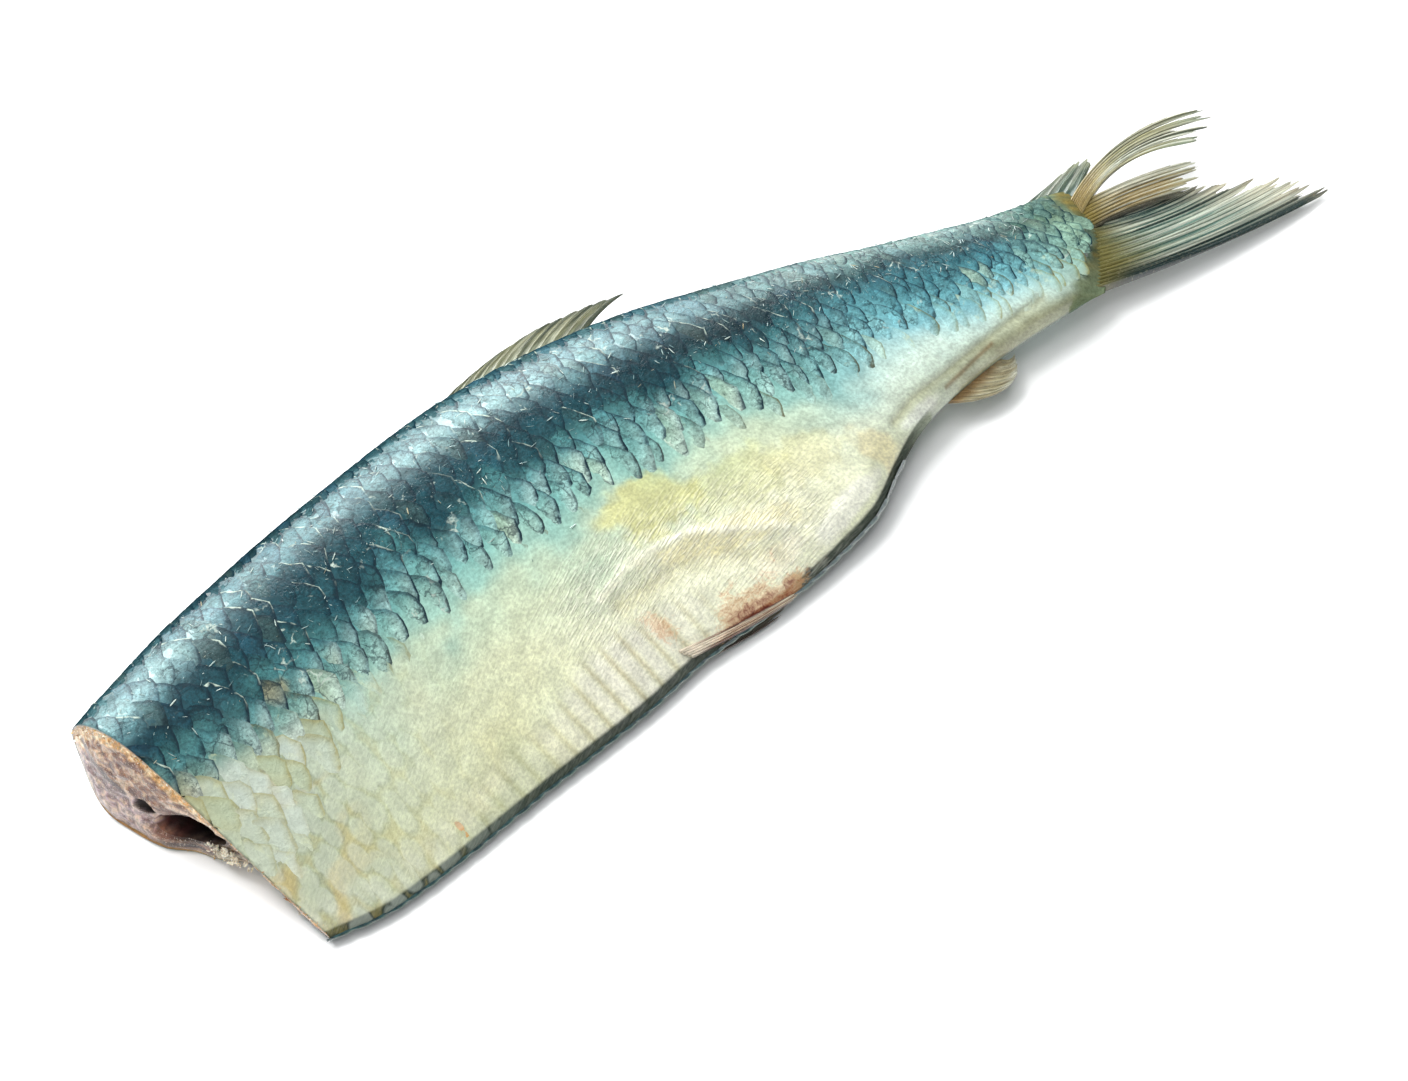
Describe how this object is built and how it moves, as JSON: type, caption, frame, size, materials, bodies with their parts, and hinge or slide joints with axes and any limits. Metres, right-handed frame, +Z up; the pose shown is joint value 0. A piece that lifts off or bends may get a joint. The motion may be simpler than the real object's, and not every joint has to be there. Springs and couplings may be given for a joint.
{
  "type": "raw herring without its head",
  "caption": "Raw herring with its head cut off, lying on one flank, with an emptied belly and its fins folded back.",
  "frame": {"origin": "under the middle of the fish's box, on the surface that it lies on", "axes": "+X from the head cut to the tail, +Y from the belly to the back, +Z up, out of the flank that shows"},
  "size_m": [0.242, 0.0734, 0.0228],
  "materials": {
    "skin": "wet",
    "flesh": "wet",
    "fin": "wet",
    "bone": "wet"
  },
  "bodies": {
    "root": {"fish": "skin", "backbone": "bone"}
  },
  "joints": []
}
